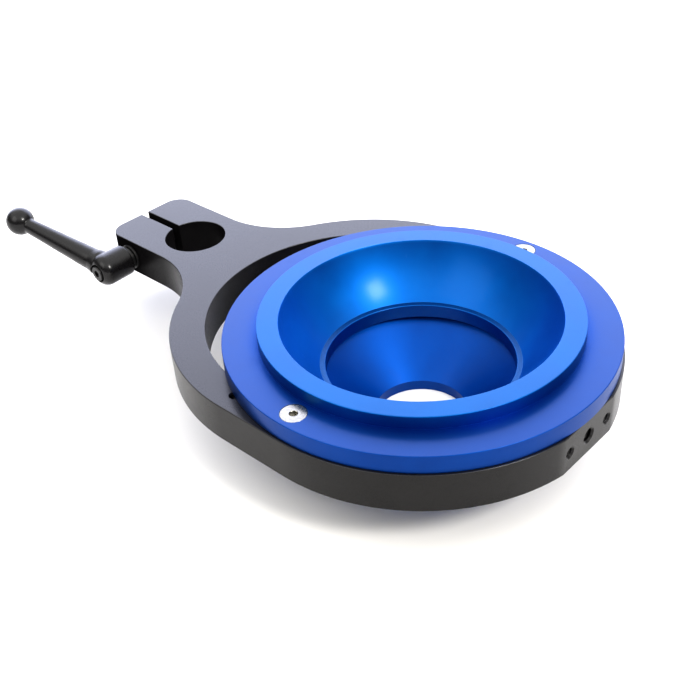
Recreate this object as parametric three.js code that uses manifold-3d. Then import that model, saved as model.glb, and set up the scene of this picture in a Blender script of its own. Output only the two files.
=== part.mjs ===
// Ball-levelling bowl bracket with a split post clamp. Millimetres, +Z up.
//
// The origin is on the flat underside of the bracket, in the middle of the solid web between the
// post bore and the ring opening. +X runs from the clamp towards the bowl, +Z towards the bowl's mouth.
//
// A black ring bracket carries a blue flanged funnel housing, and a lighter blue ring with a spherical
// seat drops into the housing. The narrow end of the bracket is split and closes on a post when the
// ball-ended lever turns its stud. The lever lifts off the teeth of its core to be set at another angle.

import * as THREE from 'three';
import { mergeVertices } from 'three/addons/utils/BufferGeometryUtils.js';
import Module from 'manifold-3d';

const wasm = await Module();
wasm.setup();

// ---- driving dimensions: bracket ----
const PLATE_THICKNESS = 22.5;
const PLATE_CHAMFER = 0.5;
const BOWL_X = 147.5; // bowl axis
const SECOND_X = 104.3; // axis of the housing's second position and of the opening's rounded left end
const RING_RADIUS = 106.8;
const OPENING_RADIUS = 87;
const END_FACET_X = BOWL_X + 104.7;
const WAIST_RADIUS = 57;
const JAW_HALF = 30;
const JAW_END_X = -87.7;
const JAW_CORNER_RADIUS = 11;
const BORE_X = -36.5;
const BORE_RADIUS = 19.05;
const SLIT_HALF = 2.5;
const FLANGE_SCREW_Y = 95.8;
const FLANGE_TAP_RADIUS = 3.1;
const SPARE_TAP_RADIUS = 2.8; // tapped holes for the housing's second position
const FACET_CENTRE_TAP = { y: 0, radius: 4.35, depth: 15 };
const FACET_SIDE_TAPS = [-16.5, 16.5].map((y) => ({ y, radius: 3.2, depth: 13 }));

// ---- driving dimensions: funnel housing and bowl ring ----
const FLANGE_RADIUS = 105.5;
const FLANGE_TOP = PLATE_THICKNESS + 10.5;
const HOUSING_RADIUS = 84;
const HOUSING_BORE_RADIUS = 80;
const SHELF_TOP = 1.7;
const SHELF_INNER_RADIUS = 60;
const SHELF_UNDERSIDE = -7;
const CONE_TOP = { radius: 57.5, z: -0.2 };
const CONE_BOTTOM_Z = -25.8;
const FUNNEL_HOLE_RADIUS = 26.1;
const FUNNEL_FOOT_RADIUS = 36;
const FUNNEL_FOOT_Z = -32.1;
const SKIRT_INNER_RADIUS = 63;
const EDGE_CHAMFER = 0.5;

const RIM_RADIUS = 86.6;
const RIM_TOP = FLANGE_TOP + 7.4;
const MOUTH_RADIUS = 75;
const MOUTH_CHAMFER = 0.4;
const SEAT_RADIUS = 80.2;
const SEAT_BOTTOM_Z = 10.3;
const LEDGE_DROP = 0.3;
const THROAT_RADIUS = 51.8;
const BOWL_BODY_RADIUS = 79.7;
const BOWL_BODY_BOTTOM = 2;

// ---- driving dimensions: countersunk screws ----
const FLANGE_SCREW = { head: 6.75, shank: 2.9, length: 25, socket: 4, socketDepth: 2.6 };
const BOWL_SCREW = { head: 4.7, shank: 2.4, length: 20, socket: 3, socketDepth: 2 };
const HEAD_LAND = 0.4; // straight edge of a countersunk head
const HEAD_SINK = 0.1; // how far a countersunk head sits below its surface
const SCREW_CLEARANCE = 0.3;
const BOWL_SCREW_COUNT = 6;
const BOWL_SCREW_CIRCLE = 71;
const BOWL_TAP_TOP = 15;

// ---- driving dimensions: clamp lever, along its own axis from the middle of the slit ----
const CLAMP_X = -66.3;
const CLAMP_Z = PLATE_THICKNESS / 2;
const STUD = { radius: 4, start: -22, end: 37.7, chamfer: 0.8 };
const STUD_HOLE_RADIUS = 4.3;
const WASHER = { inner: 4.3, outer: 8, start: 30.3, end: 31.8 };
const COLLAR = { radius: 7, start: 32.1, end: 35 };
const CORE_RADIUS = 6.3;
const TEETH = { count: 24, root: 6.4, tip: 7.1, start: 39, end: 42, gap: 0.4 };
const BOSS = { radius: 5, end: 44.5 };
const RETAINER = { shank: 2.3, start: 40, headStart: 54.4, headEnd: 57.9, head: 4.75 };
const RETAINER_SOCKET = { flats: 4, depth: 1.8 };
const HUB = { backRadius: 9.8, frontRadius: 10.2, start: 35.3, end: 57.4, nose: 6.4 };
const HUB_BORE_RADIUS = 7.6;
const WEB = { start: 45.6, end: 48.2, hole: 2.6 };
const RECESS_RADIUS = 5.8;
const SPRING = { coil: 3.05, wire: 0.35, start: 48.85, end: 53.75, turns: 3.5 };
const ARM_ROOT = new THREE.Vector3(0, 0, 48.2);
const BALL_CENTRE = new THREE.Vector3(-70.3, 16.6, 63.1);
const BALL_RADIUS = 9;
const ARM = { flare: 8.2, flareEnd: 8.5, shoulder: 7.2, shoulderEnd: 12.5, root: 7, rootEnd: 18, tip: 4.8 };

// ---- how finely round shapes are divided ----
const LARGE_ROUND = 72;
const MEDIUM_ROUND = 32;
const SMALL_ROUND = 18;
const WELD_DISTANCE = 1e-4;

const FINISHES = {
  black_anodised: { color: 0x1b1a1c, roughness: 0.42, metalness: 0.55 },
  royal_blue_anodised: { color: 0x1a2f9e, roughness: 0.38, metalness: 0.7 },
  azure_anodised: { color: 0x0b5fb8, roughness: 0.33, metalness: 0.75 },
  bright_steel: { color: 0xd4d6d8, roughness: 0.25, metalness: 1 },
  black_steel: { color: 0x121214, roughness: 0.35, metalness: 0.8 },
  black_enamel: { color: 0x0d0d0f, roughness: 0.22, metalness: 0.2 },
  spring_steel: { color: 0x8b8d90, roughness: 0.35, metalness: 1 },
};

// ---- solids and meshes ----

function weld(geometry) {
  const bare = geometry.clone();
  bare.deleteAttribute('normal');
  bare.deleteAttribute('uv');
  const welded = mergeVertices(bare, WELD_DISTANCE);
  const index = welded.index.array;
  const kept = [];
  for (let i = 0; i < index.length; i += 3) {
    const [a, b, c] = [index[i], index[i + 1], index[i + 2]];
    if (a !== b && b !== c && c !== a) kept.push(a, b, c);
  }
  welded.setIndex(kept);
  return welded;
}

function solid(geometry) {
  const welded = weld(geometry);
  const vertProperties = new Float32Array(welded.attributes.position.array);
  const triVerts = new Uint32Array(welded.index.array);
  return new wasm.Manifold(new wasm.Mesh({ numProp: 3, vertProperties, triVerts }));
}

function geometryOf(manifold) {
  const mesh = manifold.getMesh();
  const geometry = new THREE.BufferGeometry();
  geometry.setAttribute('position', new THREE.BufferAttribute(new Float32Array(mesh.vertProperties), 3));
  geometry.setIndex(new THREE.BufferAttribute(new Uint32Array(mesh.triVerts), 1));
  geometry.computeVertexNormals();
  return geometry;
}

function meshOf(name, shape, finish) {
  const geometry = shape instanceof THREE.BufferGeometry ? weld(shape) : geometryOf(shape);
  const mesh = new THREE.Mesh(geometry, new THREE.MeshStandardMaterial(FINISHES[finish]));
  mesh.name = name;
  return mesh;
}

// A closed profile of [radius, height] pairs, listed anticlockwise, turned about the Z axis.
function turned(profile, segments) {
  const points = profile.map(([radius, height]) => new THREE.Vector2(radius, height));
  points.push(points[0].clone());
  return new THREE.LatheGeometry(points, segments).rotateX(Math.PI / 2);
}

// A cylinder along Z between two heights.
function rod(radius, low, high, segments = SMALL_ROUND) {
  return turned([[0, low], [radius, low], [radius, high], [0, high]], segments);
}

// A straight-sided prism along Z between two heights, from a list of outline points.
function prism(points, low, high) {
  const shape = new THREE.Shape(points);
  return new THREE.ExtrudeGeometry(shape, { depth: high - low, bevelEnabled: false }).translate(0, 0, low);
}

function hexPrism(acrossFlats, low, high) {
  return prism(ringPoints(0, 0, acrossFlats / Math.sqrt(3), 6), low, high);
}

function arcPoints(x, y, radius, from, to, steps) {
  return Array.from({ length: steps + 1 }, (_, i) => {
    const angle = from + ((to - from) * i) / steps;
    return new THREE.Vector2(x + radius * Math.cos(angle), y + radius * Math.sin(angle));
  });
}

function ringPoints(x, y, radius, sides) {
  return arcPoints(x, y, radius, 0, 2 * Math.PI, sides).slice(0, -1);
}

// ---- bracket ----

// The half of the bracket's outline below y = 0, from the back of the post bore round to the end facet.
function lowerOutline() {
  const waistY = -(JAW_HALF + WAIST_RADIUS);
  const waistX = SECOND_X - Math.sqrt((RING_RADIUS + WAIST_RADIUS) ** 2 - waistY ** 2);
  const waistAngle = Math.atan2(-waistY, SECOND_X - waistX);
  const slitAngle = Math.asin(SLIT_HALF / BORE_RADIUS);
  const facetAngle = Math.acos((END_FACET_X - BOWL_X) / RING_RADIUS);
  const cornerX = JAW_END_X + JAW_CORNER_RADIUS;
  const cornerY = JAW_CORNER_RADIUS - JAW_HALF;
  return [
    ...arcPoints(BORE_X, 0, BORE_RADIUS, 0, slitAngle - Math.PI, 26),
    new THREE.Vector2(JAW_END_X, -SLIT_HALF),
    ...arcPoints(cornerX, cornerY, JAW_CORNER_RADIUS, -Math.PI, -Math.PI / 2, 6),
    ...arcPoints(waistX, waistY, WAIST_RADIUS, Math.PI / 2, waistAngle, 10),
    ...arcPoints(SECOND_X, 0, RING_RADIUS, waistAngle - Math.PI, -Math.PI / 2, 12).slice(1),
    ...arcPoints(BOWL_X, 0, RING_RADIUS, -Math.PI / 2, -facetAngle, 16),
  ];
}

function bracketOutline() {
  const lower = lowerOutline();
  const upper = lower.slice(1).map((point) => new THREE.Vector2(point.x, -point.y));
  return [...lower, ...upper.reverse()];
}

function ringOpening() {
  const steps = LARGE_ROUND / 3;
  return new THREE.Path([
    ...arcPoints(BOWL_X, 0, OPENING_RADIUS, -Math.PI / 2, Math.PI / 2, steps),
    ...arcPoints(SECOND_X, 0, OPENING_RADIUS, Math.PI / 2, 1.5 * Math.PI, steps),
  ]);
}

function roundHole(x, y, radius) {
  return new THREE.Path(ringPoints(x, y, radius, SMALL_ROUND));
}

function bracketPlate() {
  const shape = new THREE.Shape(bracketOutline());
  shape.holes.push(ringOpening());
  for (const side of [-1, 1]) {
    shape.holes.push(roundHole(BOWL_X, side * FLANGE_SCREW_Y, FLANGE_TAP_RADIUS));
    shape.holes.push(roundHole(SECOND_X, side * FLANGE_SCREW_Y, SPARE_TAP_RADIUS));
  }
  const plate = new THREE.ExtrudeGeometry(shape, {
    depth: PLATE_THICKNESS - 2 * PLATE_CHAMFER,
    bevelThickness: PLATE_CHAMFER,
    bevelSize: PLATE_CHAMFER,
    bevelOffset: -PLATE_CHAMFER,
    bevelSegments: 1,
  }).translate(0, 0, PLATE_CHAMFER);
  const studHole = rod(STUD_HOLE_RADIUS, -JAW_HALF - 1, JAW_HALF + 1)
    .rotateX(Math.PI / 2)
    .translate(CLAMP_X, 0, CLAMP_Z);
  return [FACET_CENTRE_TAP, ...FACET_SIDE_TAPS].reduce(
    (body, tap) => body.subtract(solid(facetHole(tap))),
    solid(plate).subtract(solid(studHole)),
  );
}

function facetHole({ y, radius, depth }) {
  return rod(radius, -depth, 1)
    .rotateY(Math.PI / 2)
    .translate(END_FACET_X, y, PLATE_THICKNESS / 2);
}

// ---- funnel housing and bowl ring ----

// The room a countersunk screw needs, with its head at z = 0 and its shank pointing down.
function countersink({ head, shank }, depth) {
  const wide = head + SCREW_CLEARANCE;
  const narrow = shank + SCREW_CLEARANCE;
  const land = -(HEAD_SINK + HEAD_LAND);
  return turned(
    [[0, -depth], [narrow, -depth], [narrow, land + narrow - wide], [wide, land], [wide, 1], [0, 1]],
    SMALL_ROUND,
  );
}

function funnelHousing() {
  const profile = [
    [FUNNEL_HOLE_RADIUS, FUNNEL_FOOT_Z],
    [FUNNEL_FOOT_RADIUS, FUNNEL_FOOT_Z],
    [SKIRT_INNER_RADIUS, SHELF_UNDERSIDE],
    [HOUSING_RADIUS - EDGE_CHAMFER, SHELF_UNDERSIDE],
    [HOUSING_RADIUS, SHELF_UNDERSIDE + EDGE_CHAMFER],
    [HOUSING_RADIUS, PLATE_THICKNESS],
    [FLANGE_RADIUS - EDGE_CHAMFER, PLATE_THICKNESS],
    [FLANGE_RADIUS, PLATE_THICKNESS + EDGE_CHAMFER],
    [FLANGE_RADIUS, FLANGE_TOP - EDGE_CHAMFER],
    [FLANGE_RADIUS - EDGE_CHAMFER, FLANGE_TOP],
    [HOUSING_BORE_RADIUS, FLANGE_TOP],
    [HOUSING_BORE_RADIUS, SHELF_TOP],
    [SHELF_INNER_RADIUS, SHELF_TOP],
    [CONE_TOP.radius, CONE_TOP.z],
    [FUNNEL_HOLE_RADIUS, CONE_BOTTOM_Z],
  ];
  let housing = solid(turned(profile, LARGE_ROUND));
  for (const side of [-1, 1]) {
    const hole = countersink(FLANGE_SCREW, PLATE_THICKNESS);
    housing = housing.subtract(solid(hole.translate(0, side * FLANGE_SCREW_Y, FLANGE_TOP)));
  }
  for (const [x, y] of bowlScrewPlaces()) {
    const hole = countersink(BOWL_SCREW, PLATE_THICKNESS).rotateX(Math.PI);
    housing = housing.subtract(solid(hole.translate(x, y, SHELF_UNDERSIDE)));
  }
  return housing;
}

function seatProfile() {
  const centreZ = RIM_TOP + Math.sqrt(SEAT_RADIUS ** 2 - MOUTH_RADIUS ** 2);
  const top = RIM_TOP - MOUTH_CHAMFER;
  const steps = 8;
  return Array.from({ length: steps + 1 }, (_, i) => {
    const z = top + ((SEAT_BOTTOM_Z - top) * i) / steps;
    return [Math.sqrt(SEAT_RADIUS ** 2 - (centreZ - z) ** 2), z];
  });
}

function bowlRing() {
  const ledgeZ = SEAT_BOTTOM_Z - LEDGE_DROP;
  const profile = [
    [THROAT_RADIUS, BOWL_BODY_BOTTOM],
    [BOWL_BODY_RADIUS - EDGE_CHAMFER, BOWL_BODY_BOTTOM],
    [BOWL_BODY_RADIUS, BOWL_BODY_BOTTOM + EDGE_CHAMFER],
    [BOWL_BODY_RADIUS, FLANGE_TOP],
    [RIM_RADIUS - EDGE_CHAMFER, FLANGE_TOP],
    [RIM_RADIUS, FLANGE_TOP + EDGE_CHAMFER],
    [RIM_RADIUS, RIM_TOP - EDGE_CHAMFER],
    [RIM_RADIUS - EDGE_CHAMFER, RIM_TOP],
    [MOUTH_RADIUS + MOUTH_CHAMFER, RIM_TOP],
    ...seatProfile(),
    [THROAT_RADIUS + EDGE_CHAMFER, ledgeZ],
    [THROAT_RADIUS, ledgeZ - EDGE_CHAMFER],
  ];
  const tap = rod(BOWL_SCREW.shank + SCREW_CLEARANCE, 0, BOWL_TAP_TOP);
  return bowlScrewPlaces().reduce(
    (ring, [x, y]) => ring.subtract(solid(tap.clone().translate(x, y, 0))),
    solid(turned(profile, LARGE_ROUND)),
  );
}

function bowlScrewPlaces() {
  return Array.from({ length: BOWL_SCREW_COUNT }, (_, i) => {
    const angle = ((i + 0.5) * 2 * Math.PI) / BOWL_SCREW_COUNT;
    return [BOWL_SCREW_CIRCLE * Math.cos(angle), BOWL_SCREW_CIRCLE * Math.sin(angle)];
  });
}

// A countersunk screw with a hexagon socket: its head's face is at z = 0 and its shank points down.
function countersunkScrew({ head, shank, length, socket, socketDepth }) {
  const body = turned(
    [
      [0, -length],
      [shank - EDGE_CHAMFER, -length],
      [shank, -length + EDGE_CHAMFER],
      [shank, shank - head - HEAD_LAND],
      [head, -HEAD_LAND],
      [head, 0],
      [0, 0],
    ],
    SMALL_ROUND,
  );
  return solid(body).subtract(solid(hexPrism(socket, -socketDepth, 1)));
}

// ---- clamp lever ----

function thrustWasher() {
  const { inner, outer, start, end } = WASHER;
  return turned([[inner, start], [outer, start], [outer, end], [inner, end]], MEDIUM_ROUND);
}

function threadedStud() {
  const { radius, start, end, chamfer } = STUD;
  return turned(
    [
      [0, start],
      [radius - chamfer, start],
      [radius, start + chamfer],
      [radius, end - chamfer],
      [radius - chamfer, end],
      [0, end],
    ],
    SMALL_ROUND,
  );
}

// A star outline whose points and hollows are the crests and roots of serration teeth.
function toothOutline(growth) {
  return Array.from({ length: 2 * TEETH.count }, (_, i) => {
    const radius = (i % 2 ? TEETH.root : TEETH.tip) + growth;
    const angle = (i * Math.PI) / TEETH.count;
    return new THREE.Vector2(radius * Math.cos(angle), radius * Math.sin(angle));
  });
}

function serratedInsert() {
  const core = turned(
    [
      [0, COLLAR.start],
      [COLLAR.radius, COLLAR.start],
      [COLLAR.radius, COLLAR.end],
      [CORE_RADIUS, COLLAR.end],
      [CORE_RADIUS, TEETH.end],
      [BOSS.radius, TEETH.end],
      [BOSS.radius, BOSS.end],
      [0, BOSS.end],
    ],
    MEDIUM_ROUND,
  );
  const teeth = prism(toothOutline(0), TEETH.start, TEETH.end);
  const studSocket = rod(STUD.radius + SCREW_CLEARANCE / 2, 0, STUD.end + SCREW_CLEARANCE);
  const screwHole = rod(RETAINER.shank + SCREW_CLEARANCE / 2, STUD.end, HUB.end);
  return solid(core).add(solid(teeth)).subtract(solid(studSocket)).subtract(solid(screwHole));
}

function retainingScrew() {
  const { shank, start, headStart, headEnd, head } = RETAINER;
  const body = turned(
    [
      [0, start],
      [shank, start],
      [shank, headStart],
      [head, headStart],
      [head, headEnd - EDGE_CHAMFER],
      [head - EDGE_CHAMFER, headEnd],
      [0, headEnd],
    ],
    SMALL_ROUND,
  );
  const socket = hexPrism(RETAINER_SOCKET.flats, headEnd - RETAINER_SOCKET.depth, headEnd + 1);
  return solid(body).subtract(solid(socket));
}

class Helix extends THREE.Curve {
  getPoint(t, target = new THREE.Vector3()) {
    const angle = t * SPRING.turns * 2 * Math.PI;
    const z = SPRING.start + t * (SPRING.end - SPRING.start);
    return target.set(SPRING.coil * Math.cos(angle), SPRING.coil * Math.sin(angle), z);
  }
}

function returnSpring() {
  const sides = 8;
  const stepsPerTurn = 16;
  const wire = new THREE.Shape(ringPoints(0, 0, SPRING.wire, sides));
  return new THREE.ExtrudeGeometry(wire, { steps: SPRING.turns * stepsPerTurn, extrudePath: new Helix() });
}

function leverHub() {
  const { backRadius, frontRadius, start, end, nose } = HUB;
  const noseArc = arcPoints(frontRadius - nose, end - nose, nose, 0, Math.PI / 2, 8);
  return turned(
    [
      [0, start],
      [backRadius - EDGE_CHAMFER, start],
      [backRadius, start + EDGE_CHAMFER],
      ...noseArc.map(({ x, y }) => [x, y]),
      [0, end],
    ],
    MEDIUM_ROUND,
  );
}

function leverArm() {
  const along = BALL_CENTRE.clone().sub(ARM_ROOT);
  const length = along.length();
  const neck = length - Math.sqrt(BALL_RADIUS ** 2 - ARM.tip ** 2);
  const turn = new THREE.Quaternion().setFromUnitVectors(new THREE.Vector3(0, 0, 1), along.normalize());
  return turned(
    [
      [0, 0],
      [ARM.flare, 0],
      [ARM.flare, ARM.flareEnd],
      [ARM.shoulder, ARM.shoulderEnd],
      [ARM.root, ARM.rootEnd],
      [ARM.tip, neck],
      [0, length],
    ],
    MEDIUM_ROUND,
  )
    .applyQuaternion(turn)
    .translate(...ARM_ROOT);
}

function leverHandle() {
  const ball = new THREE.SphereGeometry(BALL_RADIUS, 32, 20).translate(...BALL_CENTRE);
  const cuts = [
    rod(HUB_BORE_RADIUS, HUB.start - 1, TEETH.start, MEDIUM_ROUND),
    prism(toothOutline(TEETH.gap), TEETH.start - EDGE_CHAMFER, TEETH.end + EDGE_CHAMFER),
    rod(HUB_BORE_RADIUS, TEETH.end, WEB.start, MEDIUM_ROUND),
    rod(WEB.hole, WEB.start - 1, WEB.end + 1),
    rod(RECESS_RADIUS, WEB.end, HUB.end + 1, MEDIUM_ROUND),
  ];
  const casting = solid(leverHub()).add(solid(leverArm())).add(solid(ball));
  return cuts.reduce((body, cut) => body.subtract(solid(cut)), casting);
}

// ---- assembly ----

// The bowl's own group: its Z axis is the bowl axis.
function bowlGroup() {
  const group = new THREE.Group();
  group.position.set(BOWL_X, 0, 0);
  group.add(meshOf('funnel_housing', funnelHousing(), 'royal_blue_anodised'));
  group.add(meshOf('bowl_ring', bowlRing(), 'azure_anodised'));
  for (const [name, side] of [['flange_screw_near', -1], ['flange_screw_far', 1]]) {
    const screw = meshOf(name, countersunkScrew(FLANGE_SCREW), 'bright_steel');
    screw.position.set(0, side * FLANGE_SCREW_Y, FLANGE_TOP - HEAD_SINK);
    group.add(screw);
  }
  bowlScrewPlaces().forEach(([x, y], i) => {
    const screw = meshOf(`bowl_screw_${i + 1}`, countersunkScrew(BOWL_SCREW), 'black_steel');
    screw.position.set(x, y, SHELF_UNDERSIDE + HEAD_SINK);
    screw.rotation.x = Math.PI;
    group.add(screw);
  });
  return group;
}

// The lever's own group: its Z axis is the stud's axis and points out of the jaw, towards -Y.
function clampGroup() {
  const group = new THREE.Group();
  group.position.set(CLAMP_X, 0, CLAMP_Z);
  group.rotation.x = Math.PI / 2;
  group.add(meshOf('thrust_washer', thrustWasher(), 'black_steel'));
  group.add(meshOf('threaded_stud', threadedStud(), 'black_steel'));
  group.add(meshOf('serrated_insert', serratedInsert(), 'black_steel'));
  group.add(meshOf('return_spring', returnSpring(), 'spring_steel'));
  group.add(meshOf('retaining_screw', retainingScrew(), 'black_steel'));
  group.add(meshOf('lever_handle', leverHandle(), 'black_enamel'));
  return group;
}

const bracket = new THREE.Group();
bracket.add(meshOf('bracket_plate', bracketPlate(), 'black_anodised'));
bracket.add(bowlGroup());
bracket.add(clampGroup());

export default bracket;
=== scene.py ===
"""Looks of a ball-levelling bowl bracket: black plate, blue funnel housing and bowl, ball-ended lever.

Everything is in metres, in the CAD frame: +X from the clamp to the bowl, +Z up, lever on the -Y side.
Outer sizes and places are read from the CAD boxes; the sizes that no box shows are named below.
"""

import math

import bmesh
import bpy
from mathutils import Matrix, Vector
from mathutils.geometry import tessellate_polygon


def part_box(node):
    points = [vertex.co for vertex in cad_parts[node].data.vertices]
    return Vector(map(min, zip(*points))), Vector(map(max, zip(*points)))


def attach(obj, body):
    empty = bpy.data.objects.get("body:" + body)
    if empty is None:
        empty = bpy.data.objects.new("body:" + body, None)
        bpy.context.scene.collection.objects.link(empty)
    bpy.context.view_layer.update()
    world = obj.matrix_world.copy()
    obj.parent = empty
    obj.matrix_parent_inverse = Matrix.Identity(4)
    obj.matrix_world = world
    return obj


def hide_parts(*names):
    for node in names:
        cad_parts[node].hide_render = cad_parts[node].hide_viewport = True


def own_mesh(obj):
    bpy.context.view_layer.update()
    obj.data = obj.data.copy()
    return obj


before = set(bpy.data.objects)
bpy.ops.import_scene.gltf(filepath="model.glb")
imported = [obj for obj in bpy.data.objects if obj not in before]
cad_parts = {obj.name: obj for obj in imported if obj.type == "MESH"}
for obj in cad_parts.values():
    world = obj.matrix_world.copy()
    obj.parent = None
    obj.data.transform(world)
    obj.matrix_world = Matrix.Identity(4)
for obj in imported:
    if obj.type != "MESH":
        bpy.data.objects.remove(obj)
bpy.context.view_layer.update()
MM = 0.001

# ---- places and outer sizes, from the CAD frame ----
PLATE_LOW, PLATE_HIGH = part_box("bracket_plate")
HOUSING_LOW, HOUSING_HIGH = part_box("funnel_housing")
BOWL_LOW, BOWL_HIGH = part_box("bowl_ring")
WASHER_LOW, WASHER_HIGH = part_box("thrust_washer")
SCREW_LOW, SCREW_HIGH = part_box("flange_screw_far")
LEVER_LOW, LEVER_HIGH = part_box("lever_handle")

PLATE_TOP = PLATE_HIGH.z
MID_PLATE = (PLATE_LOW.z + PLATE_HIGH.z) / 2
BOWL_X = (HOUSING_LOW.x + HOUSING_HIGH.x) / 2
FLANGE_TOP = HOUSING_HIGH.z
FLANGE_RADIUS = (HOUSING_HIGH.x - HOUSING_LOW.x) / 2
FLANGE_SCREW_Y = (SCREW_LOW.y + SCREW_HIGH.y) / 2
RIM_RADIUS = (BOWL_HIGH.x - BOWL_LOW.x) / 2
CLAMP_X = (WASHER_LOW.x + WASHER_HIGH.x) / 2

# ---- bracket plate ----
SECOND_X = BOWL_X - 43.2 * MM
RING_RADIUS = 106.8 * MM
OPENING_RADIUS = 87 * MM
WAIST_RADIUS = 57 * MM
JAW_HALF = 30 * MM
JAW_CORNER_RADIUS = 11 * MM
BORE_X = -36.5 * MM
BORE_RADIUS = 19.05 * MM
SLIT_HALF = 2.5 * MM
SLIT_CORNER = 0.6 * MM
PLATE_EASE = 0.45 * MM
FLANGE_TAP_RADIUS = 3.1 * MM
SPARE_TAP_RADIUS = 2.8 * MM
FLANGE_TAP_PITCH = MM
# these holes are cut from both faces, and each cut runs past the middle of the plate
LOWER_TAP_DEPTH = 4.6 * MM
LOWER_TAP_OVERLAP = 0.6 * MM
UPPER_TAP_OVERLAP = 2 * MM
# the stud's hole ends just past the stud; the far jaw's own tap stops 0.6 mm short of it
STUD_HOLE_RADIUS = 4.3 * MM
STUD_HOLE_REACH = 22.4 * MM
FAR_TAP_DEPTH = 6 * MM
FAR_TAP_BEYOND = MM
# tapped holes in the end facet: how far to the side, radius, depth and thread pitch
FACET_TAPS = [
    (0, 4.35 * MM, 15 * MM, 1.4 * MM),
    (-16.5 * MM, 3.2 * MM, 13 * MM, 1.2 * MM),
    (16.5 * MM, 3.2 * MM, 13 * MM, 1.2 * MM),
]
ARC_STEP = math.radians(2.5)

# ---- funnel housing and bowl ring ----
HOUSING_RADIUS = 84 * MM
HOUSING_BORE_RADIUS = 80 * MM
SHELF_TOP = 1.7 * MM
SHELF_INNER_RADIUS = 60 * MM
SHELF_UNDERSIDE = -7 * MM
SHELF_FILLET = 1.5 * MM
CONE_TOP_RADIUS = 57.5 * MM
CONE_TOP_Z = -0.2 * MM
CONE_BOTTOM_Z = -25.8 * MM
FUNNEL_HOLE_RADIUS = 26.1 * MM
FUNNEL_FOOT_RADIUS = 36 * MM
SKIRT_INNER_RADIUS = 63 * MM
MOUTH_RADIUS = 75 * MM
SEAT_RADIUS = 80.2 * MM
SEAT_BOTTOM_Z = 10.3 * MM
MOUTH_BREAK = 0.2 * MM
MOUTH_BREAK_DEPTH = 0.25 * MM
LEDGE_DROP = 0.3 * MM
THROAT_RADIUS = 51.8 * MM
BOWL_BODY_RADIUS = 79.7 * MM
EDGE_EASE = 0.45 * MM

# ---- countersunk screws: head and shank radius, length, socket across flats and depth, thread pitch ----
FLANGE_SCREW = (6.75 * MM, 2.9 * MM, 25 * MM, 4 * MM, 2.6 * MM, MM)
BOWL_SCREW = (4.7 * MM, 2.4 * MM, 20 * MM, 3 * MM, 2 * MM, 0.8 * MM)
HEAD_SINK = 0.1 * MM
HEAD_LAND = 0.4 * MM
HEAD_BREAK = 0.15 * MM
RUNOUT = 0.6  # plain length under the head, as a share of the pitch
TIP_CHAMFER = 0.5 * MM
SOCKET_FLARE = 0.3 * MM
SCREW_CLEARANCE = 0.3 * MM
SINK_CLEARANCE = 0.25 * MM
SINK_LAND = 0.5 * MM
SINK_DEPTH = 20 * MM
BOWL_SCREW_COUNT = 6
BOWL_SCREW_CIRCLE = 71 * MM
BOWL_TAP_RADIUS = 2.7 * MM
BOWL_TAP_DEPTH = 13 * MM

# ---- clamp lever, along its own axis from the middle of the slit ----
STUD_RADIUS = 4 * MM
STUD_START = -22 * MM
STUD_END = 37.7 * MM
STUD_PITCH = 1.25 * MM
STUD_CHAMFER = 0.8 * MM
WASHER_EASE = 0.2 * MM
COLLAR_RADIUS = 7 * MM
COLLAR_START = 32.1 * MM
COLLAR_END = 35 * MM
CORE_RADIUS = 6.3 * MM
TOOTH_COUNT = 24
TOOTH_ROOT = 6.4 * MM
TOOTH_TIP = 7.1 * MM
TEETH_START = 39 * MM
TEETH_END = 42 * MM
TOOTH_GAP = 0.4 * MM
BOSS_RADIUS = 5 * MM
BOSS_END = 44.5 * MM
RETAINER_RADIUS = 2.3 * MM
RETAINER_START = 40 * MM
RETAINER_HEAD_RADIUS = 4.75 * MM
RETAINER_HEAD_START = 54.4 * MM
RETAINER_HEAD_END = 57.9 * MM
RETAINER_EASE = 0.5 * MM
RETAINER_SOCKET = 4 * MM
RETAINER_SOCKET_DEPTH = 1.8 * MM
HUB_START = 35.3 * MM
HUB_END = 57.4 * MM
HUB_BACK_RADIUS = 9.8 * MM
HUB_FRONT_RADIUS = 10.2 * MM
HUB_NOSE = 6.4 * MM
HUB_BORE_RADIUS = 7.6 * MM
HUB_BORE_FLARE = 0.3 * MM
WEB_START = 45.6 * MM
WEB_END = 48.2 * MM
WEB_HOLE_RADIUS = 2.6 * MM
RECESS_RADIUS = 5.8 * MM
RECESS_FLARE = 0.6 * MM
BALL_RADIUS = 9 * MM
# the arm's outline from its root on the hub's axis: distance along it, radius
ARM = [(0, 8.2), (8.5, 8.2), (12.5, 7.2), (18, 7)]
ARM_TIP_RADIUS = 4.8 * MM
# the casting is remeshed in cells of this size and smoothed this often, which fillets its joints
CASTING_CELL = 0.35 * MM
CASTING_SMOOTHING = 14
SPRING_COIL = 3.05 * MM
SPRING_WIRE = 0.35 * MM
SPRING_START = 48.85 * MM
SPRING_END = 53.75 * MM
SPRING_TURNS = 3.5

# ---- threads and drilled holes ----
THREAD_CREST = 0.12  # crest and flank, as shares of half a pitch
THREAD_FLANK = 0.7
THREAD_DEPTH = 0.58  # share of the pitch
RIDGE_DEPTH = 0.5  # of the simpler wall in a tapped hole, as a share of the pitch
HOLE_CHAMFER = 0.3 * MM
DRILL_POINT = 0.6  # its depth as a share of the hole's radius
CUT_BEYOND = 2 * MM  # how far a cutter stands out of the face that it opens

# ---- how finely round shapes are divided ----
ROUND = 192
SMALL_ROUND = 64
POINT_RADIUS = 1e-7  # a smaller circle is a single point
THREAD_ROWS = 8
SEAT_STEPS = 28
HUB_NOSE_STEPS = 12
BALL_STEPS = 32
WIRE_ROUND = 12
SPRING_TURN_STEPS = 32


# ---- mesh building ----


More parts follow.
